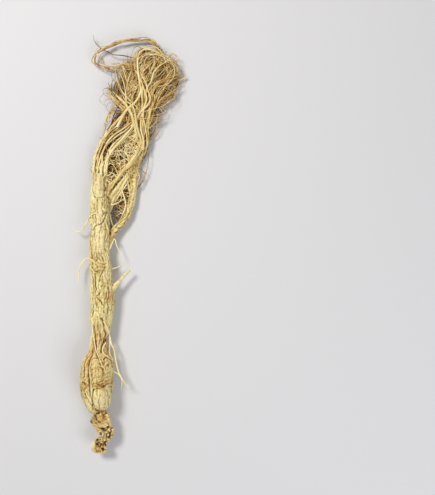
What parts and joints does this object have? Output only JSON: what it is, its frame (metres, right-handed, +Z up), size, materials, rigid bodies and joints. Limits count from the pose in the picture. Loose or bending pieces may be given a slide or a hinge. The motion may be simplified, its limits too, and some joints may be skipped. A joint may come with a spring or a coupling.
{
  "type": "dried ginseng root",
  "caption": "Dried ginseng root lying on its side: knobbly crown, bulging wrinkled body, forked legs and a curly beard of rootlets.",
  "frame": {"origin": "middle of the flat strip under the body that the root rests on", "axes": "+Z up from the surface, +Y along the root from the crown towards the beard, +X to the right seen from above with the crown nearest"},
  "size_m": [0.0686, 0.2515, 0.0175],
  "materials": {
    "dried_root_skin": "matte, finely wrinkled dried root skin, pale straw with ochre furrows"
  },
  "bodies": {
    "root": {"ginseng_root": "dried_root_skin"}
  },
  "joints": []
}
